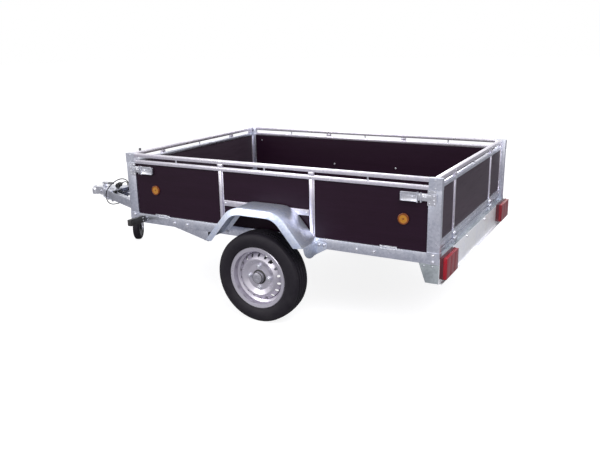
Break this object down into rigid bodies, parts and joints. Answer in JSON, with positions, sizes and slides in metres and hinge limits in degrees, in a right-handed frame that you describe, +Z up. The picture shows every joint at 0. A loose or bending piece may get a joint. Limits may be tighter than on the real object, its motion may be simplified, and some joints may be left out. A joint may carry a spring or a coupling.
{
  "type": "utility trailer",
  "caption": "Single-axle utility trailer with a galvanised frame, dark plywood sides, opening end gates, mudguards, V drawbar, ball coupling and a jockey wheel that it parks on.",
  "frame": {"origin": "on the ground, under the middle of the trailer's overall length and width", "axes": "+X forwards to the coupling, +Y to the left side, +Z up"},
  "size_m": [3.301, 1.868, 0.919],
  "materials": {
    "galvanised": "satin",
    "plywood": "satin",
    "zinc_plate": "satin",
    "amber": "gloss",
    "red_lens": "gloss",
    "clear_lens": "gloss",
    "black_plastic": "matte",
    "tyre_rubber": "matte",
    "small_wheel_rubber": "matte",
    "wheel_silver": "satin",
    "hub_steel": "satin",
    "cable_rubber": "matte"
  },
  "bodies": {
    "root": {"axle_brackets": "galvanised", "axle_tube": "galvanised", "cable": "cable_rubber", "cable_gland": "cable_rubber", "cable_plug": "cable_rubber", "corner_posts": "galvanised", "coupling_handle": "zinc_plate", "coupling_head": "zinc_plate", "cross_members": "galvanised", "drawbar_arms": "galvanised", "drawbar_head_plates": "galvanised", "floor_panel": "plywood", "front_beam": "galvanised", "front_lamp_lenses": "clear_lens", "front_lamps": "black_plastic", "gate_hinges": "galvanised", "jockey_clamp": "galvanised", "jockey_outer_tube": "galvanised", "latches": "galvanised", "light_board": "galvanised", "mudguards": "galvanised", "panel_clips": "galvanised", "rear_beam": "galvanised", "side_beams": "galvanised", "side_braces": "galvanised", "side_lower_rails": "galvanised", "side_panels": "plywood", "side_reflectors": "amber", "side_top_rails": "galvanised", "side_uprights": "galvanised", "swing_arms": "galvanised", "tail_lamp_bases": "black_plastic", "tail_lamps": "red_lens"},
    "tailgate": {"tailgate_panel": "plywood", "tailgate_bottom_rail": "galvanised", "tailgate_lower_rail": "galvanised", "tailgate_top_rail": "galvanised", "tailgate_uprights": "galvanised"},
    "front_gate": {"front_gate_panel": "plywood", "front_gate_bottom_rail": "galvanised", "front_gate_lower_rail": "galvanised", "front_gate_top_rail": "galvanised", "front_gate_uprights": "galvanised"},
    "wheel_left": {"tyre_left": "tyre_rubber", "rim_left": "wheel_silver", "hub_left": "hub_steel"},
    "wheel_right": {"tyre_right": "tyre_rubber", "rim_right": "wheel_silver", "hub_right": "hub_steel"},
    "jockey_leg": {"jockey_inner_tube": "galvanised"},
    "jockey_fork": {"jockey_fork": "galvanised"},
    "jockey_wheel": {"jockey_wheel": "small_wheel_rubber"}
  },
  "joints": [
    {"name": "tailgate_hinge", "type": "hinge", "parent": "root", "child": "tailgate", "pos_m": [-1.5945, 0, 0.5215], "axis": [0, -1, 0], "range_deg": [0, 110]},
    {"name": "front_gate_hinge", "type": "hinge", "parent": "root", "child": "front_gate", "pos_m": [0.5045, 0, 0.5215], "axis": [0, 1, 0], "range_deg": [0, 95]},
    {"name": "wheel_left_spin", "type": "hinge", "parent": "root", "child": "wheel_left", "pos_m": [-0.5745, 0.8385, 0.2736], "axis": [0, 1, 0], "continuous": true},
    {"name": "wheel_right_spin", "type": "hinge", "parent": "root", "child": "wheel_right", "pos_m": [-0.5745, -0.8385, 0.2736], "axis": [0, 1, 0], "continuous": true},
    {"name": "jockey_slide", "type": "slide", "parent": "root", "child": "jockey_leg", "axis": [0, 0, 1], "range_m": [-0.05, 0.1]},
    {"name": "jockey_swivel", "type": "hinge", "parent": "jockey_leg", "child": "jockey_fork", "pos_m": [1.2645, -0.0759, 0.222], "axis": [0, 0, 1], "continuous": true},
    {"name": "jockey_wheel_spin", "type": "hinge", "parent": "jockey_fork", "child": "jockey_wheel", "pos_m": [1.28414, -0.11075, 0.1], "axis": [0.8712, 0.4909, 0], "continuous": true}
  ]
}
